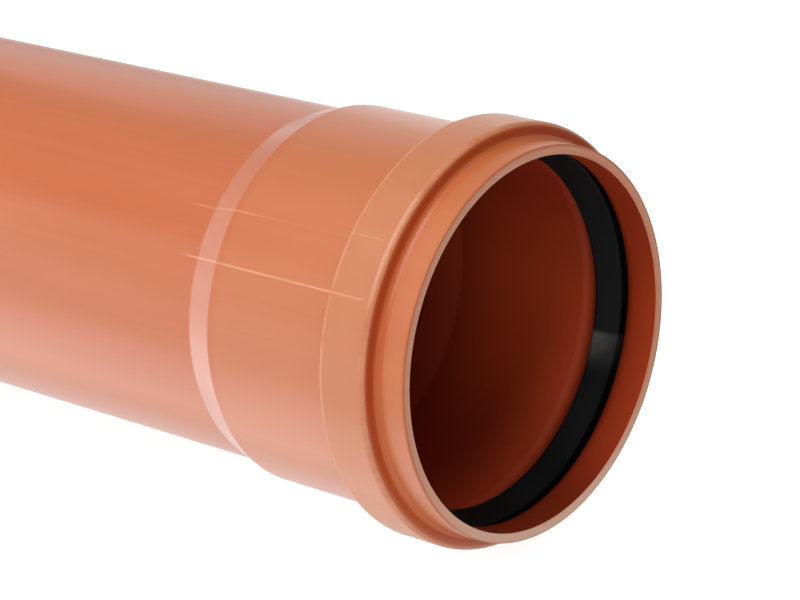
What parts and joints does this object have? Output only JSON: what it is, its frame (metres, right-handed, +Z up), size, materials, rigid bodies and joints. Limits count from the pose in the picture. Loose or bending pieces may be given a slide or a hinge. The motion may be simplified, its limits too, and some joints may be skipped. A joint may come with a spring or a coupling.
{
  "type": "sewer pipe",
  "caption": "Straight round PVC sewer pipe with a bevelled spigot at one end and, at the other, a belled push-fit socket whose groove holds a rubber lip seal.",
  "frame": {"origin": "on the ground, under the middle of the pipe's length", "axes": "+X along the ground towards the socket's mouth, +Z up; the pipe's own axis rises 0.863 degrees towards the mouth, as it lies on the ridge and the spigot end"},
  "size_m": [0.5776, 0.1264, 0.1266],
  "materials": {
    "pipe_pvc": "semi-gloss extruded PVC-U, orange-brown",
    "seal_rubber": "smooth black rubber"
  },
  "bodies": {
    "root": {"pipe": "pipe_pvc", "seal_ring": "seal_rubber"}
  },
  "joints": []
}
